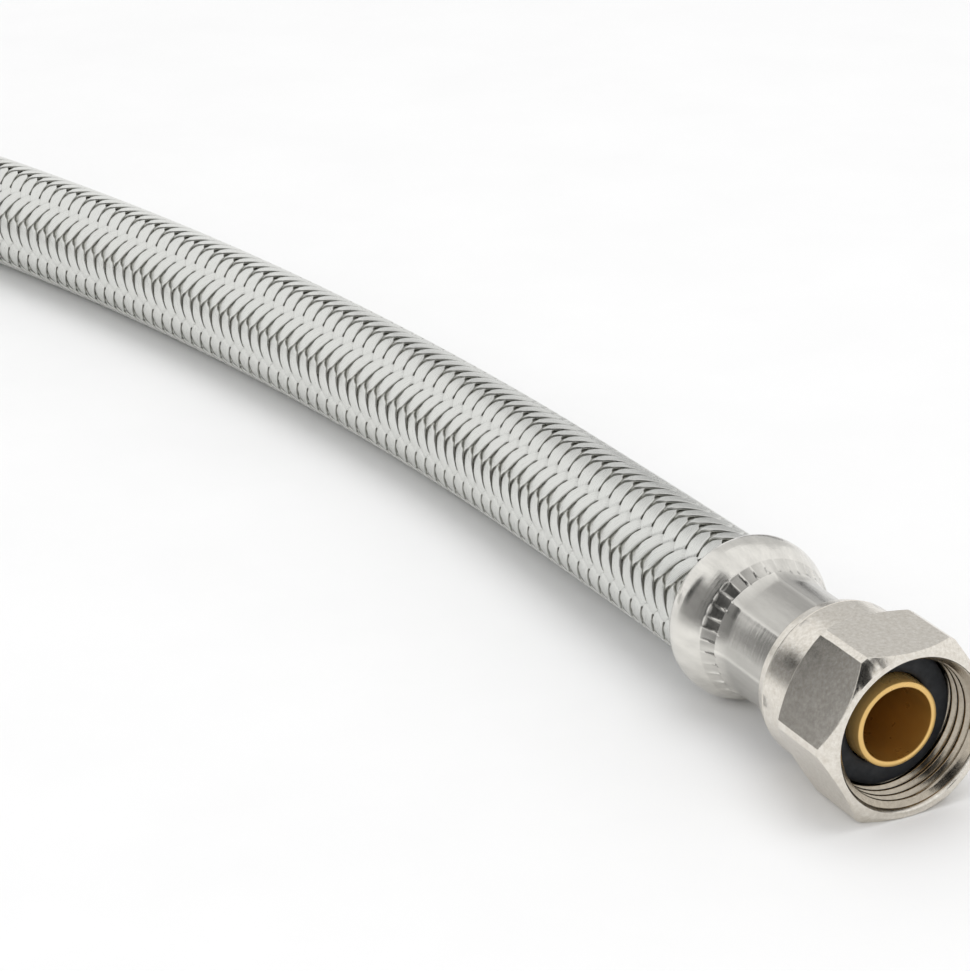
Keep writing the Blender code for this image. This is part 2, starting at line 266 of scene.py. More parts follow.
class Route:
    """The hose's centre line with a level side and an upright direction at every distance."""

    def __init__(self, tuck):
        self.tuck = tuck
        self.points, self.along = hose_line(tuck, ROUTE_STEP)
        tangent = np.gradient(self.points, self.along, axis=0)
        self.tangent = tangent / np.linalg.norm(tangent, axis=1)[:, None]
        self.length = self.along[-1]

    def frame(self, s):
        """Place, upright direction and level side at distances along the line."""
        place = np.stack([np.interp(s, self.along, self.points[:, k]) for k in range(3)], axis=-1)
        ahead = np.stack([np.interp(s, self.along, self.tangent[:, k]) for k in range(3)], axis=-1)
        ahead /= np.linalg.norm(ahead, axis=-1)[..., None]
        side = np.cross(ahead, np.array([0.0, 0.0, 1.0]))
        side /= np.linalg.norm(side, axis=-1)[..., None]
        up = np.cross(side, ahead)
        return place, up, side

    def wrapped(self, s, angle, radius):
        """Points at a distance along, an angle from upright towards the side, and a radius."""
        place, up, side = self.frame(s)
        turned = up * np.cos(angle)[..., None] + side * np.sin(angle)[..., None]
        return (place + turned * radius[..., None]) * MM


def grid_faces(rows, columns, wrap_rows, wrap_columns):
    """Corner numbers of the quads between a grid's points, closed round where it wraps."""
    r = np.arange(rows if wrap_rows else rows - 1)
    c = np.arange(columns if wrap_columns else columns - 1)
    r, c = np.meshgrid(r, c, indexing="ij")
    n, m = (r + 1) % rows, (c + 1) % columns
    quads = [r * columns + c, r * columns + m, n * columns + m, n * columns + c]
    return np.stack(quads, axis=-1).reshape(-1, 4)


def surface(name, grids, material, sharp=None):
    """One mesh object from grids of (points, flat coordinates or None, wrap rows, wrap columns)."""
    points, faces, flats, start = [], [], [], 0
    for grid, flat, wrap_rows, wrap_columns in grids:
        quads = grid_faces(*grid.shape[:2], wrap_rows, wrap_columns)
        points.append(grid.reshape(-1, 3))
        faces.append(quads + start)
        if flat is not None:
            flats.append(flat.reshape(-1, 2)[quads.ravel()])
        start += grid.shape[0] * grid.shape[1]
    points, faces = np.concatenate(points), np.concatenate(faces)
    mesh = bpy.data.meshes.new(name)
    mesh.vertices.add(len(points))
    mesh.vertices.foreach_set("co", points.astype(np.float32).ravel())
    mesh.loops.add(faces.size)
    mesh.loops.foreach_set("vertex_index", faces.astype(np.int32).ravel())
    mesh.polygons.add(len(faces))
    mesh.polygons.foreach_set("loop_start", np.arange(0, faces.size, 4, dtype=np.int32))
    if flats:
        layer = mesh.uv_layers.new(name="flat")
        layer.data.foreach_set("uv", np.concatenate(flats).astype(np.float32).ravel())
    mesh.update(calc_edges=True)
    mesh.validate()
    mesh.shade_smooth()
    if sharp is not None:
        mesh.set_sharp_from_angle(angle=math.radians(sharp))
    mesh.materials.append(material)
    made = bpy.data.objects.new(name, mesh)
    bpy.context.scene.collection.objects.link(made)
    return made


def weave_height(m):
    """Height share of a ribbon at its crossings: over two (1), then under two (-1)."""
    places = np.array([-0.5, -0.28, -0.09, 0.09, 0.28, 1.72, 1.91, 2.09, 2.28, 3.5])
    heights = np.array([-1.0, -1.0, -0.75, 0.75, 1.0, 1.0, 0.75, -0.75, -1.0, -1.0])
    return np.interp((m + 1.0) % 4 - 0.5, places, heights)


def crossing_run(crossings, first):
    """Places along a ribbon, close together where it dives and wider apart in between."""
    steps = np.array([-0.28, -0.09, 0.09, 0.28, 0.55, 0.8, 1.0, 1.2, 1.45])
    dives = np.arange(first - 2, crossings + 4, 2)
    run = (dives[:, None] + steps[None, :]).ravel()
    return run[(run >= 0) & (run <= crossings)]


def ribbon(route, family, number):
    """One ribbon: family a runs along growing j, and family b along falling i.

    The pair i, j counts the ribbons of the two families, so that they cross at whole numbers. A
    ribbon's wires bunch together towards the place where it dives under the next ones, and that
    opens a wedge beside it. Every ribbon also bends a little from crossing to crossing.
    """
    pitch = math.tau / RIBBONS
    step = HOSE_RADIUS * pitch / (2 * BRAID_TURN)
    crossings = int(route.length / step) + 1
    first = -0.5 if family == "a" else 0.5
    cross = np.array([-1.0, -0.98, -0.88, -0.5, 0.0, 0.5, 0.88, 0.98, 1.0]) * RIBBON_COVER
    crown = np.array([-1.0, -0.14, -0.03, 0.0, 0.0, 0.0, -0.03, -0.14, -1.0]) * RIBBON_THICKNESS
    run, share = np.meshgrid(crossing_run(crossings, first), cross, indexing="ij")
    past_rise = (run + 2 * number + 0.5) % 4 if family == "a" else (run - 2 * number + 3.5) % 4
    places = [0, 0.12, 0.3, 0.7, 1.0, 1.25, 1.5, 1.8, 2.1, 3.9, 4.0]
    bunched = [0.4, 0.26, 0.02, 0.04, 0.1, 0.06, 0.2, 0.85, 1.0, 0.4, 0.4]
    pinch = np.where(share > 0, UPPER_PINCH, LOWER_PINCH)
    across = share * (1 - pinch * np.interp(past_rise, places, bunched))
    if family == "a":
        i, j = number + across, run + number
        height = weave_height(number + j)
    else:
        i, j = number - run, number + across
        height = -weave_height(number + i)
    around = (i + j) * pitch / 2 + math.radians(BRAID_PHASE)
    around += math.radians(BEND) * np.sin(BENDS_ROUND * (around - math.radians(BEND_FROM)))
    along = np.clip((j - i) * step + BRAID_LEAD + route.tuck, 0, route.length)
    radius = HOSE_RADIUS - RIBBON_RISE + height * RIBBON_RISE + crown
    flat = np.stack([share / (2 * RIBBON_COVER) + 0.5, run], axis=-1)
    return route.wrapped(along, around, radius), flat, False, False


def braid(route, material):
    """Four objects: the even and the odd ribbons of both families."""
    made = []
    for family in "ab":
        for start in (0, 1):
            grids = [ribbon(route, family, number) for number in range(start, RIBBONS, 2)]
            made.append(surface(f"braid_{family}_{start + 1}", grids, material))
    return made


def even_angles(count):
    return np.arange(count) * math.tau / count


def liner(route, material):
    """The tube inside the braid, its outer and inner wall joined at both ends."""
    s = np.arange(0, route.length + 0.01, LINER_STEP)
    s, angle = np.meshgrid(s, even_angles(LINER_SIDES), indexing="ij")
    outer = route.wrapped(s, angle, np.full(s.shape, LINER_RADIUS))
    inner = route.wrapped(s[::-1], angle, np.full(s.shape, LINER_RADIUS - LINER_WALL))
    return surface("hose_liner", [(np.concatenate([outer, inner]), None, True, True)], material)


def spun(outline, angles):
    """Points of an outline of (depth, radius) spun round the local Z; either may be a row."""
    rows = []
    for depth, radius in outline:
        depth, radius = np.broadcast_arrays(depth, radius, angles)[:2]
        rows.append(np.stack([radius * np.cos(angles), radius * np.sin(angles), depth], axis=-1))
    return np.array(rows) * MM


def hexagon():
    """Angles round the nut, close together at the corners, and the bar's radius at each."""
    half = np.array([0, 5, 10, 15, 20, 24, 27.3, 27.75, 28.3, 28.9])
    offsets = np.concatenate([[-30], -half[:0:-1], half])
    angles = np.radians((np.arange(6)[:, None] * 60 + offsets[None, :]).ravel())
    off = np.radians(np.tile(offsets, 6))
    return angles, np.minimum(ACROSS_FLATS / 2 / np.cos(off), CORNER_RADIUS)


def nut_body():
    """Hexagon with turned corners, collar with a taper behind a fine groove, and stepped bore."""
    angles, bar = hexagon()
    front = (bar - FACE_RADIUS) / FRONT_SLOPE
    rear = HEX_END + (CORNER_RADIUS - bar) * REAR_SLOPE
    collar = HEX_END + (CORNER_RADIUS - COLLAR_RADIUS) * REAR_SLOPE
    outline = [
        (0.0, MOUTH_RADIUS),
        (0.0, FACE_RADIUS - HOLE_EDGE),
        (0.02, FACE_RADIUS),
        (front - NUT_EDGE / 2, bar - FRONT_SLOPE * NUT_EDGE / 2),
        (front, bar - NUT_EDGE * 0.2),
        (front + NUT_EDGE, bar),
    ]
    for share in (0.25, 0.5, 0.75):
        outline.append((front + (rear - front) * share, bar))
    outline += [
        (rear - NUT_EDGE, bar),
        (rear, bar - NUT_EDGE * 0.3),
        (rear + NUT_EDGE, bar - NUT_EDGE / REAR_SLOPE),
        (collar - NUT_EDGE, COLLAR_RADIUS + NUT_EDGE / REAR_SLOPE),
        (collar, COLLAR_RADIUS + NUT_EDGE * 0.3),
        (collar + NUT_EDGE, COLLAR_RADIUS),
        (COLLAR_MIDDLE, COLLAR_RADIUS),
        (TAPER_START - NUT_EDGE, COLLAR_RADIUS),
        (TAPER_START, COLLAR_RADIUS - 0.05),
        (TAPER_START + 0.12, COLLAR_RADIUS - 0.07),
        (TAPER_START + 0.18, COLLAR_RADIUS - 0.03),
    ]
    for before, under in REAR_ROUND:
        outline.append((NUT_LENGTH - before, COLLAR_REAR_RADIUS - under))
    outline += [
        (NUT_LENGTH, REAR_HOLE_RADIUS + HOLE_EDGE),
        (NUT_LENGTH - HOLE_EDGE, REAR_HOLE_RADIUS),
        (NUT_SEAT_DEPTH, REAR_HOLE_RADIUS),
        (NUT_SEAT_DEPTH, THREAD_MAJOR - SEAT_CORNER),
        (NUT_SEAT_DEPTH - SEAT_CORNER, THREAD_MAJOR),
        (0.4, THREAD_MAJOR),
        (0.3, THREAD_MAJOR + THREAD_CLEARANCE),
    ]
    return spun(outline, angles), None, True, True


def nut_thread():
    """One helical ridge that rises out of the bore's wall and runs out again near the seat."""
    phi = np.linspace(0, THREAD_TURNS * math.tau, int(THREAD_TURNS * THREAD_TURN_STEPS) + 1)
    across = np.array([-0.5, -0.17, -0.1, 0.1, 0.17, 0.5])
    rise = np.array([0.0, 0.9, 1.0, 1.0, 0.9, 0.0])
    end = np.minimum(phi, phi[-1] - phi) / math.radians(THREAD_RUN_OUT)
    grown = np.clip(end, 0.02, 1)[:, None]
    depth = THREAD_START + THREAD_PITCH * phi[:, None] / math.tau + across[None, :]
    wall = THREAD_MAJOR + THREAD_CLEARANCE
    radius = wall - (wall - THREAD_MINOR) * rise[None, :] * grown
    radius = np.maximum(radius, MOUTH_RADIUS - MOUTH_SLOPE * depth)
    depth = np.maximum(depth, 0.05)
    angle = np.broadcast_to(phi[:, None], depth.shape)
    points = np.stack([radius * np.cos(angle), radius * np.sin(angle), depth], axis=-1)
    return points[::-1] * MM, None, False, True


def washer_grid():
    """A flat ring whose front face is slightly domed between its two soft edges."""
    dome = [(0.12, WASHER_HOLE_RADIUS), (0.02, 4.42), (-0.04, 4.8), (-0.06, 5.4), (-0.02, 6.0),
            (0.03, 6.25), (0.12, 6.39), (0.3, WASHER_RADIUS)]
    outline = [(SEAT_DEPTH + behind, radius) for behind, radius in dome]
    outline += [
        (WASHER_BACK - 0.25, WASHER_RADIUS),
        (WASHER_BACK, WASHER_RADIUS - 0.25),
        (WASHER_BACK, WASHER_HOLE_RADIUS + 0.09),
        (WASHER_BACK - 0.1, WASHER_HOLE_RADIUS + 0.03),
    ]
    return spun(outline, even_angles(ROUND_SIDES)), None, True, True


def insert_grid():
    """Nose, flange, shank and barbed stem, turned in one piece, with a stepped bore."""
    outline = [
        (NOSE_DEPTH + NOSE_ROUND, NOSE_BORE_RADIUS),
        (NOSE_DEPTH, NOSE_BORE_RADIUS + NOSE_ROUND),
        (NOSE_DEPTH, NOSE_RADIUS - NOSE_ROUND),
        (NOSE_DEPTH + NOSE_ROUND, NOSE_RADIUS),
        (SEAT_DEPTH, NOSE_ROOT_RADIUS),
        (FLANGE_FRONT - 0.02, NOSE_ROOT_RADIUS),
        (FLANGE_FRONT, NOSE_ROOT_RADIUS + 0.06),
        (FLANGE_FRONT, FLANGE_RADIUS - INSERT_EDGE),
        (FLANGE_FRONT + INSERT_EDGE, FLANGE_RADIUS),
        (FLANGE_BACK - INSERT_EDGE, FLANGE_RADIUS),
        (FLANGE_BACK, FLANGE_RADIUS - INSERT_EDGE),
        (FLANGE_BACK, SHANK_RADIUS + 0.1),
        (FLANGE_BACK + INSERT_EDGE, SHANK_RADIUS),
        (SHANK_END - INSERT_EDGE, SHANK_RADIUS),
        (SHANK_END, SHANK_RADIUS - INSERT_EDGE),
        (SHANK_END, STEM_RADIUS + 0.07),
        (SHANK_END + INSERT_EDGE, STEM_RADIUS),
    ]
    for k in range(BARBS):
        crest = FIRST_BARB + BARB_PITCH * k
        outline += [(crest - BARB_LENGTH, STEM_RADIUS), (crest, BARB_RADIUS)]
    bore_drop = NOSE_BORE_RADIUS - STEM_BORE_RADIUS
    outline += [
        (STEM_END, STEM_RADIUS),
        (STEM_END, STEM_BORE_RADIUS),
        (BORE_STEP_DEPTH + bore_drop, STEM_BORE_RADIUS),
        (BORE_STEP_DEPTH, NOSE_BORE_RADIUS),
    ]
    return spun(outline, even_angles(ROUND_SIDES)), None, True, True


def ramp_up(distance, length):
    """0 before the start, 1 from length on, and an even rise in between."""
    return min(max(distance / length, 0.0), 1.0)


def smooth_share(share):
    share = np.clip(share, 0, 1)
    return share * share * (3 - 2 * share)


def shoulder_share(depth):
    """0 on the neck and 1 on the bulge, counted evenly along the shoulder."""
    return (depth - SHOULDER_START) / (BULGE_START - SHOULDER_START)


def ferrule_outside():
    """The cup's outer outline before the dies press it, close together where the dies work."""
    profile = []
    for a in np.radians([0, 20, 40, 60, 75, 90]):
        profile.append((FERRULE_FRONT + FRONT_ROUND * (1 - math.cos(a)),
                        NECK_RADIUS - FRONT_ROUND * (1 - math.sin(a))))
    depths = [15.0, 16.5, 18.0, 19.5, 20.8] + list(np.arange(SHOULDER_START, 22.7, 0.3))
    depths += [MARKS_START, MARKS_START + MARK_EDGE, 23.2, 23.6, 24.0, MARKS_END - MARK_EDGE]
    depths += [MARKS_END, 24.6, 24.8] + list(np.arange(25.0, BULGE_START + 0.01, 0.25))
    for depth in depths:
        share = smooth_share(shoulder_share(depth))
        profile.append((depth, NECK_RADIUS + (BULGE_RADIUS - NECK_RADIUS) * share))
    for a in np.radians(np.arange(0, 91, 9)):
        profile.append((BULGE_END + (FERRULE_BACK - BULGE_END) * math.sin(a),
                        BULGE_RADIUS - END_ROUND * (1 - math.cos(a))))
    return profile


def ferrule_grid():
    """The cup: die flats on its neck, a ring of die marks on the shoulder, and a round open end.

    Its flat coordinates carry painted light: u is the painted shade of a die mark, v the wear and
    painted highlight on a ridge's crest.
    """
    angles = even_angles(TEETH * TOOTH_STEPS)
    outline, marks, wear_and_sheen = [], [], []
    for depth, radius in ferrule_outside():
        press, mark = die_marks(depth, radius, angles)
        outline.append((depth, radius + die_flats(depth, angles) - press))
        marks.append(mark)
        wear_and_sheen.append(ridge_wear_and_sheen(depth, angles))
    inside = [
        (FERRULE_BACK, END_HOLE_RADIUS),
        (BULGE_END + 1.4, END_HOLE_RADIUS + 0.05),
        (BULGE_END + 0.9, 7.2),
        (BULGE_END, BULGE_RADIUS - SHEET),
        (25.0, 6.85),
        (23.0, 6.05),
        (SHOULDER_START, NECK_RADIUS - SHEET),
        (FERRULE_FRONT + SHEET, NECK_RADIUS - SHEET),
        (FERRULE_FRONT + SHEET, FERRULE_HOLE_RADIUS),
        (FERRULE_FRONT, FERRULE_HOLE_RADIUS),
    ]
    plain = [np.zeros(len(angles))] * len(inside)
    flat = np.stack([np.array(marks + plain), np.array(wear_and_sheen + plain)], axis=-1)
    return spun(outline + inside, angles), flat, True, True


def from_middle(angles, pitch):
    """Angle to the nearest whole number of pitches."""
    return np.abs((angles + pitch / 2) % pitch - pitch / 2)


def to_ridge(angles):
    """Distance round the neck to the nearest ridge, where the metal rises between two dies."""
    return from_middle(angles - math.radians(RIDGE_ANGLE), math.tau / DIES) * NECK_RADIUS


def neck_share(depth):
    """1 on the neck, fading out at its front edge and up the shoulder."""
    fade = 1 - smooth_share(shoulder_share(depth) * NECK_FADE)
    return fade * ramp_up(depth - FERRULE_FRONT, FRONT_ROUND)


def die_flats(depth, angles):
    """How far the neck's metal stands proud of the dies: a broad swell with a narrow crest."""
    away = to_ridge(angles)
    swell = 1 + np.cos(away / NECK_RADIUS * DIES)
    crest = np.clip(1 - away / CREST_WIDTH, 0, 1)
    return RIDGE_HEIGHT * (swell + crest) * neck_share(depth)


def ridge_wear_and_sheen(depth, angles):
    """How much each place is worn and brightened by a painted highlight: 1 on the crest of a ridge."""
    return np.clip(1 - to_ridge(angles) / WORN_SHEEN_WIDTH, 0, 1) * neck_share(depth)


def die_marks(depth, radius, angles):
    """How deep the ring of small flat teeth presses, and how dark its painted shade makes each mark,
    from 0 to 1.
    """
    pitch = math.tau / TEETH
    off = from_middle(angles, pitch)
    number = np.floor((angles + pitch / 2) / pitch) % TEETH
    inside = ramp_up(depth - MARKS_START, MARK_EDGE) * ramp_up(MARKS_END - depth, MARK_EDGE)
    mask = inside * (off < pitch * TOOTH_COVER)
    flat = radius * (1 - math.cos(pitch / 2) / np.cos(off))
    uneven = 0.75 + 0.25 * np.sin(number * 2.4)
    tilt = (TOOTH_PRESS + TOOTH_SLOPE * (MARKS_END - depth)) * uneven
    # Painted shade: the marks are darkest round one angle of the shoulder and fade away from it
    away = np.degrees(from_middle(angles - math.radians(DARKEST_MARKS_ANGLE), math.tau))
    strength = FAINTEST + (1 - FAINTEST) * smooth_share((FAINT_FROM - away) / FAINT_FADE)
    return mask * (flat + tilt), mask * strength


def fitting_matrix(mouth, inward):
    """From a fitting's own frame to the world's."""
    up = Vector((0, 0, 1))
    side = Vector(inward).cross(up)
    turn = Matrix((up, side, Vector(inward))).transposed()
    return Matrix.Translation(Vector(mouth) * MM) @ turn.to_4x4()


def fitting(end, matrix, looks):
    """Nut, washer, insert and ferrule of one end, each in place of its solid."""
    parts = [
        ("swivel_nut", [nut_body(), nut_thread()], "nickel_plate", end + "_nut"),
        ("washer", [washer_grid()], "black_rubber", "hose"),
        ("insert", [insert_grid()], "brass", "hose"),
        ("ferrule", [ferrule_grid()], "stainless_sheet", "hose"),
    ]
    for name, grids, slot, body in parts:
        piece = surface(f"{end}_{name}_detail", grids, looks[slot], sharp=SHARP_ANGLE)
        piece.matrix_world = matrix
        if name == "swivel_nut":
            piece.modifiers.new("even_flats", "WEIGHTED_NORMAL").keep_sharp = True
        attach(piece, body)
        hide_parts(f"{end}_{name}")


def camera():
    data = bpy.data.cameras.new("camera")
    data.lens = FOCAL_LENGTH
    data.sensor_width = SENSOR_WIDTH
    made = bpy.data.objects.new("camera", data)
    bpy.context.scene.collection.objects.link(made)
    right = Vector(CAMERA_RIGHT).normalized()
    up = Vector(CAMERA_UP)
    up = (up - right * up.dot(right)).normalized()
    back = right.cross(up)
    turn = Matrix((right, up, back)).transposed()
    made.matrix_world = Matrix.Translation(Vector(CAMERA_PLACE) * MM) @ turn.to_4x4()
    bpy.context.scene.camera = made


class Look:
    """A Principled material with helpers for the noise, ramps and bumps that vary it."""

    def __init__(self, name, metallic, roughness):
        self.material = bpy.data.materials.new(name)
        self.material.use_nodes = True
        self.nodes = self.material.node_tree.nodes
        self.links = self.material.node_tree.links
        self.shader = self.nodes["Principled BSDF"]
        self.shader.inputs["Metallic"].default_value = metallic
        self.shader.inputs["Roughness"].default_value = roughness
        self.height = None

    def put(self, socket, value):
        """Link a socket to a value that is a socket too, or set it to any other value."""
        if isinstance(value, bpy.types.NodeSocket):
            self.links.new(value, socket)
        else:
            socket.default_value = value

    def add(self, kind, **inputs):
        """A new node with its inputs linked or set."""
        made = self.nodes.new(kind)
        for name, value in inputs.items():
            self.put(made.inputs[name], value)
        return made

    def math(self, operation, *values):
        made = self.nodes.new("ShaderNodeMath")
        made.operation = operation
        for socket, value in zip(made.inputs, values):
            self.put(socket, value)
        return made.outputs[0]

    def place(self):
        """Coordinates in the object's own frame, in metres."""
        return self.add("ShaderNodeTexCoord").outputs["Object"]

    def flat(self):
        """The mesh's flat coordinates."""
        made = self.add("ShaderNodeUVMap")
        made.uv_map = "flat"
        return made.outputs[0]

    def parts(self, vector):
        """The X, Y and Z of a vector."""
        return self.add("ShaderNodeSeparateXYZ", Vector=vector).outputs

    def scaled(self, scale, vector):
        return self.add("ShaderNodeMapping", Vector=vector, Scale=scale).outputs[0]

    def noise(self, scale, detail, where=None, rough=0.6):
        where = where or self.place()
        made = self.add("ShaderNodeTexNoise", Vector=where, Scale=scale, Detail=detail, Roughness=rough)
        return made.outputs["Fac"]

    def ramp(self, factor, stops):
        made = self.add("ShaderNodeValToRGB", Fac=factor)
        elements = made.color_ramp.elements
        while len(elements) < len(stops):
            elements.new(0.5)
        for element, (position, color) in zip(elements, stops):
            element.position = position
            element.color = (*color, 1.0)
        return made.outputs["Color"]

    def span(self, factor, low, high, start=0.0, end=1.0):
        """From low to high while the factor goes from start to end."""
        made = self.add("ShaderNodeMapRange", Value=factor)
        for name, value in (("From Min", start), ("From Max", end), ("To Min", low), ("To Max", high)):
            made.inputs[name].default_value = value
        return made.outputs["Result"]

    def color(self, socket):
        self.links.new(socket, self.shader.inputs["Base Color"])

    def rough(self, socket):
        self.links.new(socket, self.shader.inputs["Roughness"])

    def mottle(self, scale, detail, dark, light):
        """A colour that wanders between two close shades."""
        self.color(self.ramp(self.noise(scale, detail), [(0.3, dark), (0.7, light)]))

    def bump(self, height, distance, strength):
        """A bump of so many millimetres on top of the ones before it."""
        made = self.add("ShaderNodeBump", Height=height, Distance=distance * MM, Strength=strength)
        if self.height is not None:
            self.links.new(self.height, made.inputs["Normal"])
        self.height = made.outputs["Normal"]
        self.links.new(self.height, self.shader.inputs["Normal"])

    def radius(self):
        """Distance from the local Z axis."""
        parts = self.parts(self.place())
        x, y = parts["X"], parts["Y"]
        return self.math("SQRT", self.math("MULTIPLY_ADD", x, x, self.math("MULTIPLY", y, y)))

    def turned_rings(self, count_per_metre):
        """Fine rings round the local Z, as a lathe leaves them."""
        return self.noise(1.0, 3.0, self.scaled((60, 60, count_per_metre), self.place()))


def nickel_look():
    """Satin plating, clouded, and duller and warmer in the thread."""
    look = Look("satin_nickel", 1.0, 0.3)
    cloud = look.span(look.noise(2600, 5, rough=0.7), 0.78, 1.0, 0.3, 0.7)
    outside = look.span(look.radius(), 0.0, 1.0, 7.16 * MM, 7.3 * MM)
    mixed = look.math("MULTIPLY", cloud, look.span(outside, 0.62, 1.0))
    look.color(look.ramp(mixed, [
        (0.0, (0.0, 0.0, 0.0)),
        (0.62, (0.50, 0.445, 0.365)),
        (1.0, (0.86, 0.825, 0.76)),
    ]))
    look.rough(look.span(look.noise(900, 3), 0.17, 0.25, 0.3, 0.7))
    look.bump(look.noise(3800, 3, rough=0.7), 0.012, 0.45)
    look.bump(look.turned_rings(3000), 0.008, 0.3)
    return look.material


def stainless_look():
    """Drawn sheet: streaks along the axis, a duller neck, die marks darkened by painted shade and worn
    ridges brightened by a painted highlight.
    """
    look = Look("drawn_stainless", 1.0, 0.22)
    streak = look.noise(1.0, 4, look.scaled((900, 900, 120), look.place()))
    flat = look.parts(look.flat())
    mark, wear_and_sheen = flat["X"], flat["Y"]
    neck = look.span(look.parts(look.place())["Z"], 0.70, 1.0, 21.2 * MM, 23.4 * MM)
    # Painted shade: the die marks darken the colour to half.
    shade = look.math("MULTIPLY", look.span(streak, 0.8, 1.0, 0.3, 0.7), look.span(mark, 1.0, 0.5))
    # Painted highlight: the worn crests of the ridges brighten the colour by up to 0.28.
    shade = look.math("MULTIPLY", shade, look.math("MULTIPLY_ADD", wear_and_sheen, 0.28, neck))
    look.color(look.ramp(shade, [(0.0, (0.0, 0.0, 0.0)), (1.0, (0.82, 0.80, 0.75))]))
    look.rough(look.span(look.noise(500, 3), 0.17, 0.26, 0.3, 0.7))
    look.bump(look.noise(380, 2), 0.025, 0.5)
    look.bump(look.noise(1.0, 3, look.scaled((150, 150, 2600), look.place())), 0.03, 0.4)
    look.bump(look.noise(1800, 2), 0.012, 0.4)
    return look.material


def wire_look():
    """Seven wires side by side, from the ribbon's own coordinates: u across and v along."""
    wires = 7.0
    look = Look("braided_wire", 1.0, 0.3)
    flat = look.flat()
    u = look.parts(flat)["X"]
    middle = look.math("SUBTRACT", look.math("FRACT", look.math("MULTIPLY", u, wires)), 0.5)
    wire = look.math("SQRT", look.math("SUBTRACT", 0.2501, look.math("MULTIPLY", middle, middle)))
    grain = look.noise(1.0, 4, look.scaled((26.0, 1.1, 1.0), flat))
    # Painted shade: the colour darkens in the valleys between the wires, and the grain varies it at
    # random.
    shade = look.math("MULTIPLY", look.span(wire, 0.82, 1.0, 0.05, 0.35), look.span(grain, 0.8, 1.1))
    # Painted shade: the colour falls to the ramp's darkest stop at the ribbon's two edges, beside the
    # gaps.
    edge = look.math("ABSOLUTE", look.math("SUBTRACT", u, 0.5))
    shade = look.math("MULTIPLY", shade, look.span(edge, 1.0, 0.0, 0.484, 0.496))
    look.color(look.ramp(shade, [
        (0.0, (0.42, 0.42, 0.385)),
        (0.6, (0.54, 0.54, 0.515)),
        (1.0, (0.76, 0.765, 0.735)),
    ]))
    look.rough(look.span(grain, 0.22, 0.4, 0.3, 0.7))
    look.bump(wire, 0.07, 0.5)
    return look.material


def brass_look():
    """Turned brass, darker and browner in the bore."""
    look = Look("turned_brass", 0.6, 0.3)
    # The colour is darker and browner inside the bore's radius.
    outside = look.span(look.radius(), 0.0, 1.0, 3.49 * MM, 3.6 * MM)
    bright = look.math("ADD", outside, look.span(look.noise(300, 3), -0.12, 0.12))
    look.color(look.ramp(bright, [
        (0.0, (0.31, 0.155, 0.028)),
        (0.35, (0.50, 0.28, 0.07)),
        (1.0, (0.88, 0.58, 0.21)),
    ]))
    look.rough(look.span(look.noise(400, 2), 0.24, 0.38, 0.3, 0.7))
    look.bump(look.turned_rings(600), 0.006, 0.3)
    return look.material


def washer_look():
    look = Look("moulded_rubber", 0.0, 0.6)
    look.mottle(900, 4, (0.012, 0.014, 0.018), (0.03, 0.034, 0.04))
    look.rough(look.span(look.noise(1500, 3), 0.5, 0.75, 0.3, 0.7))
    look.bump(look.noise(5000, 3), 0.03, 0.6)
    return look.material


def liner_look():
    look = Look("liner_rubber", 0.0, 0.7)
    look.mottle(700, 4, (0.66, 0.66, 0.60), (0.80, 0.80, 0.74))
    look.bump(look.noise(4000, 3), 0.03, 0.5)
    return look.material


def floor_look():
    look = Look("pale_floor", 0.0, 0.85)
    look.mottle(40, 3, (0.87, 0.87, 0.87), (0.89, 0.89, 0.89))
    return look.material


def mesh_plane(name, centre, width, height, facing, material):
    """A flat rectangle whose local +Z looks along a direction; its height runs upwards."""
    w, h = width / 2, height / 2
    mesh = bpy.data.meshes.new(name)
    mesh.from_pydata([(-w, -h, 0), (w, -h, 0), (w, h, 0), (-w, h, 0)], [], [(0, 1, 2, 3)])
    mesh.materials.append(material)
    made = bpy.data.objects.new(name, mesh)
    bpy.context.scene.collection.objects.link(made)
    made.rotation_mode = "QUATERNION"
    made.rotation_quaternion = Vector(facing).to_track_quat("Z", "Y")
    made.location = centre
    return made


def card(name, centre, width, height, target, shade, core=0.92):
    """A grey card that only reflections see, as a studio's flags give metal its darks.

    It is even within its core, a share of its size, and fades out from there to its edge.
    """
    look = Look(name, 0.0, 1.0)
    look.shader.inputs["Base Color"].default_value = (0.0, 0.0, 0.0, 1.0)
    look.shader.inputs["Specular IOR Level"].default_value = 0.0
    look.shader.inputs["Emission Color"].default_value = (shade, shade, shade, 1.0)
    look.shader.inputs["Emission Strength"].default_value = 1.0
    parts = look.parts(look.place())
    across = look.math("ABSOLUTE", look.math("DIVIDE", parts["X"], width / 2))
    along = look.math("ABSOLUTE", look.math("DIVIDE", parts["Y"], height / 2))
    solid = look.span(look.math("MAXIMUM", across, along), 1.0, 0.0, core, 1.0)
    look.links.new(solid, look.shader.inputs["Alpha"])
    facing = Vector(target) - Vector(centre)
    made = mesh_plane(name, Vector(centre), width, height, facing, look.material)
    made.visible_camera = False
    made.visible_diffuse = False
    made.visible_shadow = False
    made.visible_transmission = False


def fitting_cards(name, mouth, inward, side):
    """The cards beside one fitting, on the left (-1) or right (1) of one who looks into its mouth."""
    matrix = fitting_matrix(mouth, inward)
    for card_name, (high, out, along), width, height, shade, core in FITTING_CARDS:
        centre = matrix @ Vector((high, side * out, along))
        target = matrix @ Vector((high, 0, along))
        card(f"{name}_{card_name}", centre, width, height, target, shade, core)


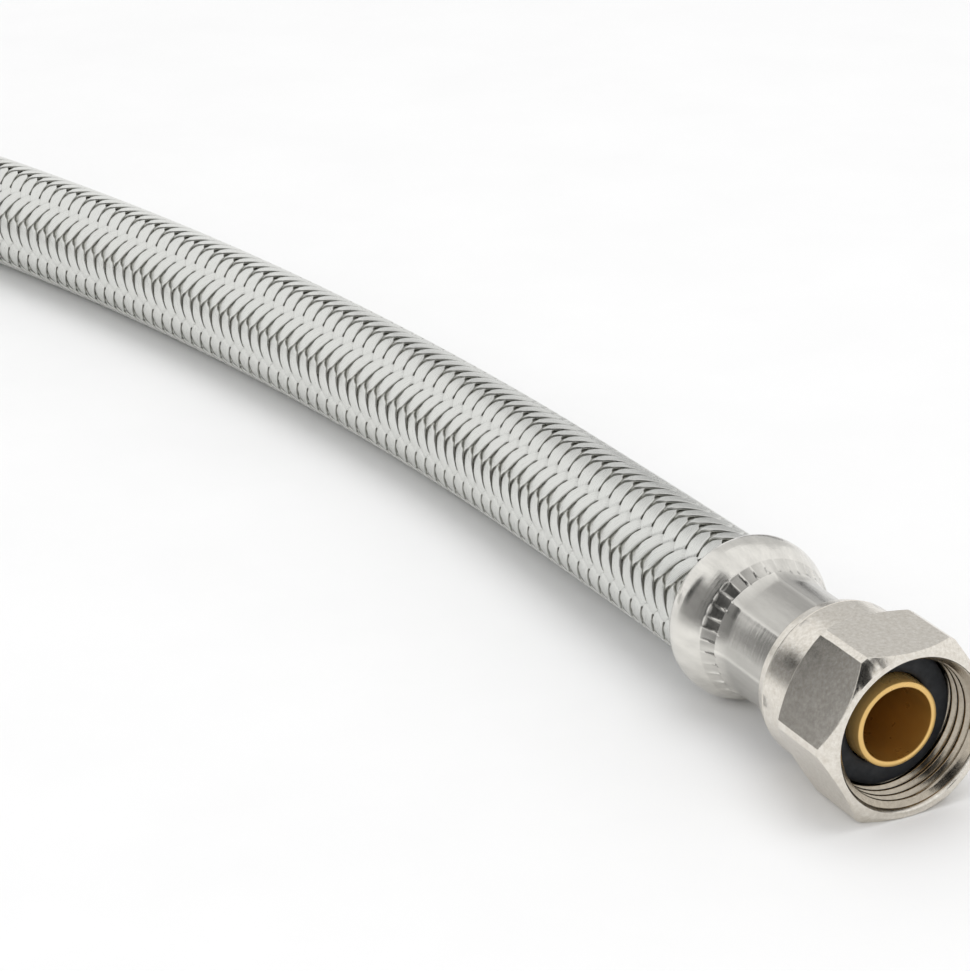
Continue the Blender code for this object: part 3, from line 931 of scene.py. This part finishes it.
def world():
    """White for camera, reflection and transmission rays, and a softer light for all others."""
    made = bpy.data.worlds.new("studio")
    bpy.context.scene.world = made
    made.use_nodes = True
    nodes, links = made.node_tree.nodes, made.node_tree.links
    seen = nodes["Background"]
    light = nodes.new("ShaderNodeBackground")
    for background, strength in ((seen, 1.0), (light, 0.8)):
        background.inputs["Color"].default_value = (1.0, 1.0, 1.0, 1.0)
        background.inputs["Strength"].default_value = strength
    path = nodes.new("ShaderNodeLightPath")
    direct = nodes.new("ShaderNodeMath")
    direct.operation = "ADD"
    links.new(path.outputs["Is Camera Ray"], direct.inputs[0])
    links.new(path.outputs["Is Glossy Ray"], direct.inputs[1])
    white = nodes.new("ShaderNodeMath")
    white.operation = "ADD"
    white.use_clamp = True
    links.new(direct.outputs[0], white.inputs[0])
    links.new(path.outputs["Is Transmission Ray"], white.inputs[1])
    mix = nodes.new("ShaderNodeMixShader")
    links.new(white.outputs[0], mix.inputs[0])
    links.new(light.outputs[0], mix.inputs[1])
    links.new(seen.outputs[0], mix.inputs[2])
    links.new(mix.outputs[0], nodes["World Output"].inputs["Surface"])


def lamp(name, place, target, size, energy):
    """A round lamp that lights the scene and shows in no reflection."""
    data = bpy.data.lights.new(name, "AREA")
    data.shape = "DISK"
    data.size = size
    data.energy = energy
    made = bpy.data.objects.new(name, data)
    bpy.context.scene.collection.objects.link(made)
    made.rotation_mode = "QUATERNION"
    made.rotation_quaternion = (Vector(target) - Vector(place)).to_track_quat("-Z", "Y")
    made.location = place
    made.visible_glossy = False


def studio():
    """Floor, lamps, and the cards whose reflections give the metal its darks."""
    world()
    mesh_plane("floor", Vector((-0.08, 0.13, 0.0)), 3.0, 3.0, (0, 0, 1), floor_look())
    middle = (-0.05, 0.05, 0.01)
    lamp("overhead", (0.1, 0.1, 0.9), middle, 0.8, 2.6)
    lamp("left", (-0.8, -0.3, 0.7), middle, 0.6, 1.6)
    nose = (-0.004, 0.0, 0.01)
    ferrule = (-0.005, 0.019, 0.012)
    card("dark_camera_side", (-0.20, -0.41, 0.39), 0.42, 0.48, nose, 0.0)
    card("dark_left", (-0.235, -0.012, 0.166), 0.11, 0.40, ferrule, 0.015)
    fitting_cards("near", NEAR_MOUTH, (0, 1, 0), -1)
    fitting_cards("far", FAR_MOUTH, (1, 0, 0), -1)
    fitting_cards("far_right", FAR_MOUTH, (1, 0, 0), 1)
    card("grey_back", (0.060, 0.112, 0.074), 0.12, 0.10, nose, 0.68)
    card("dark_right_back", (0.055, 0.10, 0.019), 0.035, 0.014, ferrule, 0.03)


bpy.context.scene.view_settings.view_transform = "Standard"
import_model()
camera()
studio()

hose_route = Route(FERRULE_BACK - BRAID_START)
core = liner(hose_route, liner_look())
ribbons = braid(hose_route, wire_look())
for piece in ribbons + [core]:
    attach(piece, "hose")
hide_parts("inner_tube")
for piece in ribbons:
    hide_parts("braid_sleeve")
fitting_looks = {
    "nickel_plate": nickel_look(),
    "black_rubber": washer_look(),
    "brass": brass_look(),
    "stainless_sheet": stainless_look(),
}
fitting("near", fitting_matrix(NEAR_MOUTH, (0, 1, 0)), fitting_looks)
fitting("far", fitting_matrix(FAR_MOUTH, (1, 0, 0)), fitting_looks)
